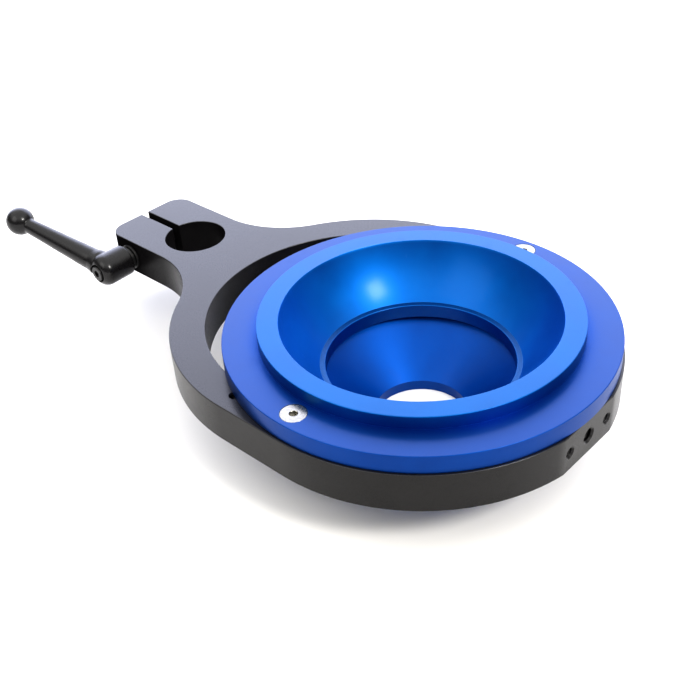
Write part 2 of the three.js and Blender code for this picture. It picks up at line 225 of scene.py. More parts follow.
def mesh_object(name, bm, place=Matrix.Identity(4)):
    """A new object from a bmesh that is built in its own frame, put where `place` says."""
    mesh = bpy.data.meshes.new(name)
    bm.to_mesh(mesh)
    bm.free()
    obj = bpy.data.objects.new(name, mesh)
    bpy.context.scene.collection.objects.link(obj)
    obj.matrix_world = place
    return obj


def apply_modifiers(obj):
    graph = bpy.context.evaluated_depsgraph_get()
    graph.update()
    old = obj.data
    obj.data = bpy.data.meshes.new_from_object(obj.evaluated_get(graph))
    obj.data.name = obj.name
    obj.modifiers.clear()
    bpy.data.meshes.remove(old)


def modify(obj, kind, **settings):
    modifier = obj.modifiers.new(kind, kind)
    for key, value in settings.items():
        setattr(modifier, key, value)
    apply_modifiers(obj)
    return obj


def shade(obj, angle=35):
    """Smooth faces, sharp only where the surface really turns, with flat faces kept flat."""
    mesh = obj.data
    mesh.polygons.foreach_set("use_smooth", [True] * len(mesh.polygons))
    mesh.set_sharp_from_angle(angle=math.radians(angle))
    return modify(obj, "WEIGHTED_NORMAL", keep_sharp=True)


def combine(obj, other, operation):
    """A boolean of two closed objects; the second is used up."""
    modify(obj, "BOOLEAN", operation=operation, solver="MANIFOLD", object=other)
    bpy.data.objects.remove(other)
    return obj


def cut(obj, *cutters):
    for cutter in cutters:
        combine(obj, cutter, "DIFFERENCE")
    return obj


def join(obj, *others):
    for other in others:
        combine(obj, other, "UNION")
    return obj


def rounded(corners, steps=4):
    """Outline points from (a, b, radius) corners: each corner with a radius becomes an arc."""
    points = []
    count = len(corners)
    for i, (a, b, radius) in enumerate(corners):
        here = Vector((a, b))
        if radius <= 0:
            points.append(here)
            continue
        back = (Vector(corners[i - 1][:2]) - here).normalized()
        ahead = (Vector(corners[(i + 1) % count][:2]) - here).normalized()
        half = back.angle(ahead) / 2
        centre = here + (back + ahead).normalized() * radius / math.sin(half)
        start = here + back * radius / math.tan(half) - centre
        sweep = start.angle_signed(here + ahead * radius / math.tan(half) - centre)
        for k in range(steps + 1):
            spin = Matrix.Rotation(-sweep * k / steps, 2)
            points.append(centre + spin @ start)
    return points


def loft(name, rings, place=Matrix.Identity(4)):
    """A closed surface through rings of points, in order and back to the first; one point is a pole."""
    count = max(len(ring) for ring in rings)
    bm = bmesh.new()
    loops = []
    for ring in rings:
        made = [bm.verts.new(point) for point in ring]
        loops.append(made if len(made) > 1 else made * count)
    for lower, upper in zip(loops, loops[1:] + loops[:1]):
        for k in range(count):
            m = (k + 1) % count
            corners = list(dict.fromkeys((lower[k], lower[m], upper[m], upper[k])))
            if len(corners) > 2:
                bm.faces.new(corners)
    return mesh_object(name, bm, place)


def circle(radius, height, count):
    if radius < POINT_RADIUS:
        return [(0, 0, height)]
    angles = [2 * math.pi * k / count for k in range(count)]
    return [(radius * math.cos(t), radius * math.sin(t), height) for t in angles]


def turned(name, profile, place=Matrix.Identity(4), count=ROUND):
    """A closed (radius, height) outline, listed anticlockwise, turned about the object's Z axis."""
    return loft(name, [circle(radius, height, count) for radius, height in profile], place)


def thread_rings(radius, pitch, low, high, chamfer, both_ends=False):
    """Rings of a rod along Z with a single-start right-hand thread, chamfered where it ends."""
    rings = []
    rows = round((high - low) / pitch * THREAD_ROWS)
    for row in range(rows + 1):
        z = low + (high - low) * row / rows
        ring = []
        for k in range(SMALL_ROUND):
            share = k / SMALL_ROUND
            wave = abs(2 * ((z / pitch - share) % 1) - 1)
            drop = min(1, max(0, (wave - THREAD_CREST) / THREAD_FLANK)) * THREAD_DEPTH * pitch
            at = min(radius - drop, radius - chamfer + (z - low))
            if both_ends:
                at = min(at, radius - chamfer + (high - z))
            angle = 2 * math.pi * share
            ring.append((at * math.cos(angle), at * math.sin(angle), z))
        rings.append(ring)
    return rings


def prism(name, points, low, high, place=Matrix.Identity(4)):
    """A straight prism along Z with the given outline."""
    rings = [[(0, 0, low)], [(x, y, low) for x, y in points], [(x, y, high) for x, y in points]]
    return loft(name, rings + [[(0, 0, high)]], place)


def hexagon(across_flats):
    return [(x, y) for x, y, z in circle(across_flats / math.sqrt(3), 0, 6)]


def arc(x, y, radius, start, end, step=ARC_STEP):
    count = max(2, math.ceil(abs(end - start) / step))
    angles = [start + (end - start) * k / count for k in range(count + 1)]
    return [(x + radius * math.cos(t), y + radius * math.sin(t), 0) for t in angles]


def hole(name, radius, depth, place, pitch=0.0, beyond=0.0):
    """A cutter for a round hole with a chamfered mouth at z = 0 and, with a pitch, a ridged wall.

    The wall stays ridged for `depth`; the hole goes on plain for `beyond`, or ends in a drill point.
    """
    inner = radius - RIDGE_DEPTH * pitch
    mouth = radius + HOLE_CHAMFER
    if beyond:
        corners = [(0, -depth - beyond), (radius, -depth - beyond), (radius, -depth)]
    else:
        corners = [(0, -depth - inner * DRILL_POINT), (inner, -depth)]
    turns = int((depth - mouth + inner) / pitch) if pitch else 0
    for k in range(turns):
        height = -depth + pitch * k
        corners += [(inner, height + 0.25 * pitch), (radius, height + 0.75 * pitch)]
    corners += [(inner, inner - mouth), (mouth, 0), (mouth, CUT_BEYOND), (0, CUT_BEYOND)]
    return turned(name, corners, place, SMALL_ROUND)


def countersink(head, shank, place):
    """The room for a countersunk screw whose head is at z = 0 and whose shank points down."""
    wide = head + SINK_CLEARANCE
    narrow = shank + SCREW_CLEARANCE
    land = -SINK_LAND
    corners = [(0, -SINK_DEPTH), (narrow, -SINK_DEPTH), (narrow, land + narrow - wide), (wide, land)]
    corners += [(wide, CUT_BEYOND), (0, CUT_BEYOND)]
    return turned("sink", corners, place, SMALL_ROUND)


def shift(x, y, z):
    return Matrix.Translation((x, y, z))


def turn(degrees, axis):
    return Matrix.Rotation(math.radians(degrees), 4, axis)


# ---- bracket plate ----


def plate_outline():
    """The bracket's outer contour, anticlockwise, as (x, y, corner radius)."""
    waist_y = -(JAW_HALF + WAIST_RADIUS)
    waist_x = SECOND_X - math.sqrt((RING_RADIUS + WAIST_RADIUS) ** 2 - waist_y**2)
    waist_angle = math.atan2(-waist_y, SECOND_X - waist_x)
    facet_angle = math.acos((PLATE_HIGH.x - BOWL_X) / RING_RADIUS)
    slit_angle = math.asin(SLIT_HALF / BORE_RADIUS)
    corner_x = PLATE_LOW.x + JAW_CORNER_RADIUS
    corner_y = JAW_CORNER_RADIUS - JAW_HALF
    bore = arc(BORE_X, 0, BORE_RADIUS, 0, slit_angle - math.pi)
    bore[-1] = (bore[-1][0], bore[-1][1], SLIT_CORNER)
    lower = bore + [(PLATE_LOW.x, -SLIT_HALF, SLIT_CORNER)]
    lower += arc(corner_x, corner_y, JAW_CORNER_RADIUS, -math.pi, -math.pi / 2)
    lower += arc(waist_x, waist_y, WAIST_RADIUS, math.pi / 2, waist_angle)
    lower += arc(SECOND_X, 0, RING_RADIUS, waist_angle - math.pi, -math.pi / 2)[1:]
    lower += arc(BOWL_X, 0, RING_RADIUS, -math.pi / 2, -facet_angle)
    upper = [(x, -y, r) for x, y, r in lower[1:]]
    return lower + upper[::-1]


def opening_outline():
    """The obround ring opening, clockwise, so that the plate is on its left."""
    right = arc(BOWL_X, 0, OPENING_RADIUS, math.pi / 2, -math.pi / 2)
    left = arc(SECOND_X, 0, OPENING_RADIUS, -math.pi / 2, -1.5 * math.pi)
    return right + left


def inset(points, distance):
    """The outline moved by `distance` towards its left, where the material is."""
    moved = []
    count = len(points)
    for i, here in enumerate(points):
        before = (here - points[i - 1]).normalized()
        after = (points[(i + 1) % count] - here).normalized()
        left = Vector((-before.y - after.y, before.x + after.x)).normalized()
        stretch = max(0.5, left.dot(Vector((-after.y, after.x))))
        moved.append(here + left * distance / stretch)
    return moved


def plate_body():
    """The plate with eased edges: rings of the outlines lofted through a rounded edge profile."""
    steps = 4
    quarter = [math.pi / 2 * k / steps for k in range(steps + 1)]
    ease = [(PLATE_EASE * (1 - math.sin(t)), PLATE_EASE * (1 - math.cos(t))) for t in quarter]
    levels = [(distance, PLATE_LOW.z + z) for distance, z in ease]
    levels += [(distance, PLATE_TOP - z) for distance, z in reversed(ease)]
    bm = bmesh.new()
    caps = {0: [], len(levels) - 1: []}
    for outline in (rounded(plate_outline()), rounded(opening_outline())):
        loops = []
        for distance, z in levels:
            loops.append([bm.verts.new((p.x, p.y, z)) for p in inset(outline, distance)])
        for lower, upper in zip(loops, loops[1:]):
            for k in range(len(lower)):
                m = (k + 1) % len(lower)
                bm.faces.new((lower[k], lower[m], upper[m], upper[k]))
        for level in caps:
            caps[level].append(loops[level])
    for level, loops in caps.items():
        flat = [v for loop in loops for v in loop]
        for triangle in tessellate_polygon([[v.co for v in loop] for loop in loops]):
            face = bm.faces.new([flat[i] for i in triangle])
            face.normal_update()
            if (face.normal.z > 0) != (level > 0):
                face.normal_flip()
    return mesh_object("plate", bm)


def top_and_bottom_hole(x, y, radius, threaded_top):
    """Cutters for a hole through the plate, ridged below and, if nothing fills it, above."""
    half = MID_PLATE - PLATE_LOW.z
    above = shift(x, y, PLATE_TOP)
    below = shift(x, y, PLATE_LOW.z) @ turn(180, "X")
    upper_pitch = FLANGE_TAP_PITCH if threaded_top else 0
    plain = half + LOWER_TAP_OVERLAP - LOWER_TAP_DEPTH
    lower = hole("hole", radius, LOWER_TAP_DEPTH, below, FLANGE_TAP_PITCH, plain)
    return [hole("hole", radius, half, above, upper_pitch, UPPER_TAP_OVERLAP), lower]


def bracket_plate():
    near_face = shift(CLAMP_X, -JAW_HALF, MID_PLATE) @ turn(90, "X")
    far_face = shift(CLAMP_X, JAW_HALF, MID_PLATE) @ turn(-90, "X")
    cutters = [hole("stud_hole", STUD_HOLE_RADIUS, JAW_HALF, near_face, 0, STUD_HOLE_REACH)]
    cutters.append(hole("far_tap", STUD_HOLE_RADIUS, FAR_TAP_DEPTH, far_face, STUD_PITCH, FAR_TAP_BEYOND))
    facet = shift(PLATE_HIGH.x, 0, MID_PLATE) @ turn(90, "Y")
    for across, radius, depth, pitch in FACET_TAPS:
        cutters.append(hole("facet_tap", radius, depth, facet @ shift(0, across, 0), pitch))
    for side in (-1, 1):
        cutters += top_and_bottom_hole(BOWL_X, side * FLANGE_SCREW_Y, FLANGE_TAP_RADIUS, False)
        cutters += top_and_bottom_hole(SECOND_X, side * FLANGE_SCREW_Y, SPARE_TAP_RADIUS, True)
    return shade(cut(plate_body(), *cutters))


# ---- funnel housing and bowl ring ----


def bowl_screw_places():
    angles = [(k + 0.5) * 2 * math.pi / BOWL_SCREW_COUNT for k in range(BOWL_SCREW_COUNT)]
    return [(BOWL_SCREW_CIRCLE * math.cos(t), BOWL_SCREW_CIRCLE * math.sin(t)) for t in angles]


def funnel_housing():
    corners = [
        (FUNNEL_HOLE_RADIUS, HOUSING_LOW.z, EDGE_EASE),
        (FUNNEL_FOOT_RADIUS, HOUSING_LOW.z, EDGE_EASE),
        (SKIRT_INNER_RADIUS, SHELF_UNDERSIDE, SHELF_FILLET),
        (HOUSING_RADIUS, SHELF_UNDERSIDE, EDGE_EASE),
        (HOUSING_RADIUS, PLATE_TOP, 0),
        (FLANGE_RADIUS, PLATE_TOP, EDGE_EASE),
        (FLANGE_RADIUS, FLANGE_TOP, EDGE_EASE),
        (HOUSING_BORE_RADIUS, FLANGE_TOP, EDGE_EASE / 2),
        (HOUSING_BORE_RADIUS, SHELF_TOP, 0),
        (SHELF_INNER_RADIUS, SHELF_TOP, EDGE_EASE),
        (CONE_TOP_RADIUS, CONE_TOP_Z, 0),
        (FUNNEL_HOLE_RADIUS, CONE_BOTTOM_Z, EDGE_EASE / 2),
    ]
    housing = turned("housing", rounded(corners), shift(BOWL_X, 0, 0))
    cutters = []
    for side in (-1, 1):
        place = shift(BOWL_X, side * FLANGE_SCREW_Y, FLANGE_TOP)
        cutters.append(countersink(*FLANGE_SCREW[:2], place))
    for x, y in bowl_screw_places():
        place = shift(BOWL_X + x, y, SHELF_UNDERSIDE) @ turn(180, "X")
        cutters.append(countersink(*BOWL_SCREW[:2], place))
    return shade(cut(housing, *cutters))


def seat_arc():
    """The spherical seat from the mouth down to the ledge, as profile corners."""
    centre_z = BOWL_HIGH.z + math.sqrt(SEAT_RADIUS**2 - MOUTH_RADIUS**2)
    top = BOWL_HIGH.z - MOUTH_BREAK_DEPTH
    heights = [top + (SEAT_BOTTOM_Z - top) * k / SEAT_STEPS for k in range(SEAT_STEPS + 1)]
    return [(math.sqrt(SEAT_RADIUS**2 - (centre_z - z) ** 2), z, 0) for z in heights]


def bowl_ring():
    ledge = SEAT_BOTTOM_Z - LEDGE_DROP
    corners = [
        (THROAT_RADIUS, BOWL_LOW.z, EDGE_EASE / 2),
        (BOWL_BODY_RADIUS, BOWL_LOW.z, EDGE_EASE),
        (BOWL_BODY_RADIUS, FLANGE_TOP, 0),
        (RIM_RADIUS, FLANGE_TOP, 0),
        (RIM_RADIUS, BOWL_HIGH.z, EDGE_EASE),
        (MOUTH_RADIUS + MOUTH_BREAK, BOWL_HIGH.z, 0),
        *seat_arc(),
        (THROAT_RADIUS, ledge, EDGE_EASE),
    ]
    ring = turned("ring", rounded(corners), shift(BOWL_X, 0, 0))
    places = [shift(BOWL_X + x, y, BOWL_LOW.z) @ turn(180, "X") for x, y in bowl_screw_places()]
    return shade(cut(ring, *[hole("tap", BOWL_TAP_RADIUS, BOWL_TAP_DEPTH, place) for place in places]))


# ---- screws ----


def countersunk_screw(name, head, shank, length, socket, socket_depth, pitch, place):
    neck = shank - head - HEAD_LAND
    rings = [[(0, 0, -length)]]
    rings += thread_rings(shank, pitch, -length, neck - RUNOUT * pitch, TIP_CHAMFER)
    edge = [(shank, neck, 0), (head, -HEAD_LAND, 0), (head, 0, HEAD_BREAK), (0, 0, 0)]
    rings += [circle(radius, height, SMALL_ROUND) for radius, height in rounded(edge, 3)]
    screw = loft(name, rings, place)
    return shade(cut(screw, *socket_cutters(socket, socket_depth, place)))


def socket_cutters(across_flats, depth, place):
    """Cutters for a hexagon socket with a chamfered mouth at z = 0."""
    flare = SOCKET_FLARE
    wide = across_flats / math.sqrt(3)
    mouth = [(0, -flare), (wide - flare, -flare), (wide, 0), (wide, flare), (0, flare)]
    socket = prism("socket", hexagon(across_flats), -depth, MM, place)
    return [socket, turned("mouth", mouth, place, SMALL_ROUND)]


def flange_screw(side):
    place = shift(BOWL_X, side * FLANGE_SCREW_Y, FLANGE_TOP - HEAD_SINK)
    return countersunk_screw("flange_screw", *FLANGE_SCREW, place)


def bowl_screw(x, y):
    place = shift(BOWL_X + x, y, SHELF_UNDERSIDE + HEAD_SINK) @ turn(180, "X")
    return countersunk_screw("bowl_screw", *BOWL_SCREW, place)


# ---- clamp lever ----

CLAMP = shift(CLAMP_X, 0, MID_PLATE) @ turn(90, "X")


def thrust_washer():
    low = -WASHER_HIGH.y
    high = -WASHER_LOW.y
    outer = (WASHER_HIGH.x - WASHER_LOW.x) / 2
    corners = [
        (STUD_HOLE_RADIUS, low, 0),
        (outer, low, WASHER_EASE),
        (outer, high, WASHER_EASE),
        (STUD_HOLE_RADIUS, high, WASHER_EASE),
    ]
    return shade(turned("washer", rounded(corners), CLAMP, SMALL_ROUND))


def threaded_stud():
    rings = thread_rings(STUD_RADIUS, STUD_PITCH, STUD_START, STUD_END, STUD_CHAMFER, both_ends=True)
    return shade(loft("stud", [[(0, 0, STUD_START)], *rings, [(0, 0, STUD_END)]], CLAMP), 50)


def tooth_outline(growth):
    """A star outline whose points and hollows are the crests and roots of serration teeth."""
    points = []
    for k in range(2 * TOOTH_COUNT):
        radius = (TOOTH_ROOT if k % 2 else TOOTH_TIP) + growth
        angle = k * math.pi / TOOTH_COUNT
        points.append((radius * math.cos(angle), radius * math.sin(angle)))
    return points


def serrated_insert():
    corners = [
        (0, COLLAR_START, 0),
        (COLLAR_RADIUS, COLLAR_START, EDGE_EASE),
        (COLLAR_RADIUS, COLLAR_END, EDGE_EASE),
        (CORE_RADIUS, COLLAR_END, 0),
        (CORE_RADIUS, TEETH_END, 0),
        (BOSS_RADIUS, TEETH_END, 0),
        (BOSS_RADIUS, BOSS_END, EDGE_EASE),
        (0, BOSS_END, 0),
    ]
    insert = turned("insert", rounded(corners), CLAMP, SMALL_ROUND)
    join(insert, prism("teeth", tooth_outline(0), TEETH_START, TEETH_END, CLAMP))
    gap = SCREW_CLEARANCE / 2
    socket = prism("socket", ring_outline(STUD_RADIUS + gap), 0, STUD_END + gap, CLAMP)
    passage = prism("passage", ring_outline(RETAINER_RADIUS + gap), STUD_END, HUB_END, CLAMP)
    return shade(cut(insert, socket, passage))


def ring_outline(radius, count=SMALL_ROUND):
    return [(x, y) for x, y, z in circle(radius, 0, count)]


def retaining_screw():
    corners = [
        (0, RETAINER_START, 0),
        (RETAINER_RADIUS, RETAINER_START, EDGE_EASE),
        (RETAINER_RADIUS, RETAINER_HEAD_START, 0),
        (RETAINER_HEAD_RADIUS, RETAINER_HEAD_START, 0),
        (RETAINER_HEAD_RADIUS, RETAINER_HEAD_END, RETAINER_EASE),
        (0, RETAINER_HEAD_END, 0),
    ]
    screw = turned("retainer", rounded(corners), CLAMP, SMALL_ROUND)
    head = CLAMP @ shift(0, 0, RETAINER_HEAD_END)
    return shade(cut(screw, *socket_cutters(RETAINER_SOCKET, RETAINER_SOCKET_DEPTH, head)))


def return_spring():
    steps = int(SPRING_TURNS * SPRING_TURN_STEPS)
    wire = ring_outline(SPRING_WIRE, WIRE_ROUND)
    rings = [[(SPRING_COIL, 0, SPRING_START)]]
    for step in range(steps + 1):
        share = step / steps
        along = Matrix.Rotation(share * SPRING_TURNS * 2 * math.pi, 4, "Z")
        height = SPRING_START + share * (SPRING_END - SPRING_START)
        section = [(SPRING_COIL + x, 0, height + z) for x, z in wire]
        rings.append([along @ Vector(point) for point in section])
    rings.append([along @ Vector((SPRING_COIL, 0, SPRING_END))])
    return shade(loft("spring", rings, CLAMP), 60)


def lever_casting():
    """Hub, arm and ball grown together with the soft fillets of a casting."""
    hub = [
        (0, HUB_START, 0),
        (HUB_BACK_RADIUS, HUB_START, EDGE_EASE),
        (HUB_FRONT_RADIUS, HUB_END, HUB_NOSE),
        (0, HUB_END, 0),
    ]
    root = Vector((0, 0, WEB_END))
    ball = ball_centre() - root
    neck = ball.length - math.sqrt(BALL_RADIUS**2 - ARM_TIP_RADIUS**2)
    outline = [(0, 0)] + [(radius * MM, along * MM) for along, radius in ARM]
    outline += [(ARM_TIP_RADIUS, neck), (0, ball.length)]
    lean = CLAMP @ Matrix.Translation(root) @ ball.to_track_quat("Z", "Y").to_matrix().to_4x4()
    arm = turned("arm", outline, lean, SMALL_ROUND)
    half = [math.pi * k / BALL_STEPS - math.pi / 2 for k in range(BALL_STEPS + 1)]
    sphere = [(BALL_RADIUS * math.cos(t), ball.length + BALL_RADIUS * math.sin(t)) for t in half]
    knob = turned("knob", sphere, lean, SMALL_ROUND)
    casting = join(turned("hub", rounded(hub, HUB_NOSE_STEPS), CLAMP, SMALL_ROUND), arm, knob)
    modify(casting, "REMESH", mode="VOXEL", voxel_size=CASTING_CELL)
    return modify(casting, "SMOOTH", factor=0.5, iterations=CASTING_SMOOTHING)


def ball_centre():
    """The ball fills the lever box's corner that is farthest from the clamp, in the lever's own axes."""
    corner = Vector((LEVER_LOW.x, LEVER_LOW.y, LEVER_HIGH.z))
    inward = Vector((BALL_RADIUS, BALL_RADIUS, -BALL_RADIUS))
    return CLAMP.inverted() @ (corner + inward)


def lever_handle():
    bore_mouth = HUB_BORE_RADIUS + HUB_BORE_FLARE
    recess_mouth = RECESS_RADIUS + RECESS_FLARE
    bore = [
        (0, HUB_START - MM),
        (bore_mouth, HUB_START - MM),
        (bore_mouth, HUB_START),
        (HUB_BORE_RADIUS, HUB_START + HUB_BORE_FLARE),
        (HUB_BORE_RADIUS, TEETH_START),
        (0, TEETH_START),
    ]
    recess = [
        (0, WEB_END),
        (RECESS_RADIUS, WEB_END),
        (RECESS_RADIUS, HUB_END - RECESS_FLARE),
        (recess_mouth, HUB_END),
        (recess_mouth, HUB_END + MM),
        (0, HUB_END + MM),
    ]
    cutters = [
        turned("bore", bore, CLAMP, SMALL_ROUND),
        prism("teeth", tooth_outline(TOOTH_GAP), TEETH_START - EDGE_EASE, TEETH_END + EDGE_EASE, CLAMP),
        prism("well", ring_outline(HUB_BORE_RADIUS), TEETH_END, WEB_START, CLAMP),
        prism("web_hole", ring_outline(WEB_HOLE_RADIUS), WEB_START - MM, WEB_END + MM, CLAMP),
        turned("recess", recess, CLAMP, SMALL_ROUND),
    ]
    return shade(cut(lever_casting(), *cutters), 45)


# ---- finishes ----

DEEP_BLACK = (0.006, 0.0055, 0.006, 1)
STEEL_LINE_SCALE = 6000.0


class Shader:
    """A node material with short names for the few node kinds that the finishes use."""

    def __init__(self, name, owner=None):
        self.material = owner or bpy.data.materials.new(name)
        self.material.use_nodes = True
        self.tree = self.material.node_tree
        self.surface = self.tree.nodes.get("Principled BSDF")
        self.where = self.add("TexCoord").outputs["Object"]

    def add(self, kind, inputs=None, **settings):
        made = self.tree.nodes.new("ShaderNode" + kind)
        for key, value in settings.items():
            setattr(made, key, value)
        for key, value in (inputs or {}).items():
            self.feed(made.inputs[key], value)
        return made

    def feed(self, socket, value):
        if isinstance(value, bpy.types.NodeSocket):
            self.tree.links.new(value, socket)
        else:
            socket.default_value = value

    def noise(self, size, detail=2.0, where=None):
        """Noise whose blobs are about `size` metres across, from 0 to 1."""
        inputs = {"Vector": where or self.where, "Scale": 1 / size, "Detail": detail}
        return self.add("TexNoise", inputs).outputs["Fac"]

    def remap(self, value, low, high, new_low=0.0, new_high=1.0):
        inputs = {0: value, 1: low, 2: high, 3: new_low, 4: new_high}
        return self.add("MapRange", inputs, interpolation_type="SMOOTHSTEP").outputs[0]

    def maths(self, operation, a, b=0.0):
        return self.add("Math", {0: a, 1: b}, operation=operation).outputs[0]

    def mix(self, share, a, b):
        inputs = {0: share, 6: a, 7: b}
        return self.add("Mix", inputs, data_type="RGBA").outputs[2]

    def blend(self, share, a, b):
        return self.add("Mix", {0: share, 2: a, 3: b}).outputs[0]

    def bump(self, height, distance, under=None):
        inputs = {"Height": height, "Distance": distance, "Strength": 1.0}
        if under:
            inputs["Normal"] = under
        return self.add("Bump", inputs).outputs["Normal"]

    def edges(self, radius):
        """1 along outward and inward edges, 0 on open faces."""
        soft = self.add("Bevel", {"Radius": radius}, samples=8).outputs["Normal"]
        true = self.add("NewGeometry").outputs["Normal"]
        match = self.add("VectorMath", {0: soft, 1: true}, operation="DOT_PRODUCT").outputs["Value"]
        return self.remap(match, 0.995, 0.93)

    def level(self, upright=0.1, flat=0.5):
        """1 on faces that lie flat, 0 on faces that stand upright; the limits are of the normal's Z."""
        normal = self.add("NewGeometry").outputs["Normal"]
        height = self.add("SeparateXYZ", {0: normal}).outputs["Z"]
        return self.remap(self.maths("ABSOLUTE", height), upright, flat)

    def reach(self, distance):
        """1 in the open, down to 0.15 inside holes and narrow gaps."""
        open_air = self.add("AmbientOcclusion", {"Distance": distance}, samples=6).outputs["AO"]
        return self.remap(open_air, 0.5, 0.9, 0.15, 1.0)

    def scratches(self, size):
        """Thin, short, wandering lines, sparse and only here and there."""
        inputs = {"Vector": self.where, "Rotation": (0.3, 0.2, 0.9), "Scale": (1, 7, 1)}
        stretched = self.add("Mapping", inputs).outputs[0]
        field = self.noise(size, 1.0, stretched)
        near_line = self.maths("ABSOLUTE", self.maths("SUBTRACT", field, 0.5))
        patch = self.remap(self.noise(size * 1.7), 0.55, 0.68)
        return self.maths("MULTIPLY", self.remap(near_line, 0.0035, 0.0), patch)

    def set(self, **values):
        for key, value in values.items():
            self.feed(self.surface.inputs[key.replace("_", " ")], value)
        return self.material


def colour(red, green, blue):
    return (red, green, blue, 1)


def black_anodised():
    """Black-dyed aluminium: blasted faces, duller milled sides with painted shade, faint handling marks,
    worn edges.
    """
    s = Shader("black_anodised")
    grain = s.noise(0.35 * MM, 3)
    cloud = s.noise(28 * MM, 3)
    wear = s.maths("MULTIPLY", s.edges(0.5 * MM), s.remap(s.noise(5 * MM), 0.35, 0.75))
    lines = s.scratches(9 * MM)
    base = s.mix(s.remap(cloud, 0.3, 0.7), DEEP_BLACK, colour(0.009, 0.0085, 0.009))
    base = s.mix(s.maths("MULTIPLY", wear, 0.5), base, colour(0.11, 0.11, 0.12))
    rough = s.remap(s.maths("ADD", grain, s.maths("MULTIPLY", cloud, 0.8)), 0.5, 1.3, 0.24, 0.33)
    rough = s.maths("ADD", rough, s.maths("MULTIPLY", lines, 0.08))
    normal = s.bump(grain, 0.012 * MM, s.bump(lines, -0.004 * MM))
    # painted shade: upright sides shine less towards the jaws and inside holes and narrow gaps, where
    # shade falls
    along = s.add("SeparateXYZ", {0: s.where}).outputs["X"]
    side_shine_painted_shade = s.maths("MULTIPLY", s.remap(along, -70 * MM, 10 * MM, 0.0, 0.23), s.reach(50 * MM))
    shine = s.blend(s.level(), side_shine_painted_shade, 0.5)
    return s.set(Base_Color=base, Roughness=rough, IOR=1.5, Specular_IOR_Level=shine, Normal=normal)


def dyed_anodised(name, deep, light, level, painted_shade_colour, worn):
    """Blasted aluminium under a clear dyed layer: metal colour below, a pale sheen above.

    The colour drifts between `deep` and `light`. Open level faces lean towards `level`. Painted shade:
    level faces close to a wall lean towards a shade colour, and upright faces are a little darker. Patches
    of the edges lean towards `worn`.
    """
    s = Shader(name)
    grain = s.noise(0.3 * MM, 3)
    cloud = s.noise(35 * MM, 3)
    wear = s.maths("MULTIPLY", s.edges(0.45 * MM), s.remap(s.noise(4 * MM), 0.2, 0.6))
    lines = s.scratches(8 * MM)
    smudge = s.remap(s.noise(14 * MM, 4), 0.6, 0.75)
    base = s.mix(s.remap(cloud, 0.3, 0.7), deep, light)
    # painted shade: upright faces are mixed a fifth of the way towards near black
    base = s.mix(s.remap(s.level(), 0.0, 1.0, 0.2, 0.0), base, colour(0, 0, 0.02))
    # painted shade: level faces close to a wall, where shade falls, lean towards the shade colour and lose
    # most of their coat
    top = s.level(0.8, 0.98)
    flat = s.maths("MULTIPLY", top, s.reach(50 * MM))
    painted_shade_share = s.maths("SUBTRACT", top, flat)
    slope = s.maths("SUBTRACT", s.level(), top)
    base = s.mix(s.maths("MULTIPLY", flat, 0.4), base, level)
    base = s.mix(s.remap(painted_shade_share, 0.0, 0.4, 0.0, 0.85), base, painted_shade_colour)
    base = s.mix(s.maths("MULTIPLY", wear, 0.4), base, worn)
    rough = s.remap(s.maths("ADD", grain, cloud), 0.6, 1.4, 0.42, 0.5)
    rough = s.maths("ADD", rough, s.maths("MULTIPLY", smudge, 0.04))
    coat = s.maths("ADD", 0.2, s.maths("MULTIPLY", smudge, 0.08))
    normal = s.bump(grain, 0.018 * MM, s.bump(lines, -0.004 * MM))
    return s.set(
        Base_Color=base,
        Metallic=s.maths("SUBTRACT", 1.0, s.maths("MULTIPLY", slope, 0.3)),
        Specular_Tint=s.mix(slope, colour(1, 1, 1), colour(0, 0.3, 1)),
        Roughness=rough,
        Coat_Weight=s.blend(painted_shade_share, s.remap(flat, 0.0, 1.0, 0.12, 0.22), 0.03),
        Coat_Roughness=coat,
        Coat_IOR=1.6,
        Normal=normal,
    )


def royal_blue_anodised():
    deep = colour(0.0, 0.046, 0.25)
    light = colour(0.0, 0.058, 0.30)
    level = colour(0.02, 0.045, 0.1)
    # colour of the painted shade on level faces close to a wall
    painted_shade_colour = colour(0.0, 0.05, 0.25)
    worn = colour(0.12, 0.26, 0.6)
    return dyed_anodised("royal_blue_anodised", deep, light, level, painted_shade_colour, worn)


def azure_anodised():
    deep = colour(0.0, 0.088, 0.35)
    light = colour(0.0, 0.112, 0.41)
    level = colour(0.0, 0.055, 0.1)
    # colour of the painted shade on level faces close to a wall
    painted_shade_colour = colour(0.0, 0.02, 0.07)
    worn = colour(0.1, 0.36, 0.75)
    return dyed_anodised("azure_anodised", deep, light, level, painted_shade_colour, worn)


def steel(name, tint, film_tint, rubbed, roughness, metallic, lines):
    """Steel with a patchy film, fine lines in arcs about the Z axis, and rubbed edges."""
    s = Shader(name)
    grain = s.noise(0.25 * MM, 3)
    film = s.remap(s.noise(1.6 * MM, 3), 0.35, 0.7)
    place = s.add("SeparateXYZ", {0: s.where})
    squares = [s.maths("MULTIPLY", place.outputs[k], place.outputs[k]) for k in (0, 1)]
    radius = s.maths("SQRT", s.maths("ADD", *squares))
    across = s.maths("MULTIPLY", radius, STEEL_LINE_SCALE)
    arcs = s.add("TexNoise", {"W": across}, noise_dimensions="1D").outputs[0]
    arcs = s.maths("MULTIPLY", arcs, lines)
    base = s.mix(film, tint, film_tint)
    base = s.mix(s.maths("MULTIPLY", s.edges(0.25 * MM), 0.4), base, rubbed)
    rough = s.remap(s.maths("ADD", grain, film), 0.4, 1.6, roughness - 0.04, roughness + 0.05)
    normal = s.bump(arcs, 0.006 * MM, s.bump(grain, 0.004 * MM))
    return s.set(Base_Color=base, Metallic=metallic, Roughness=rough, Normal=normal)


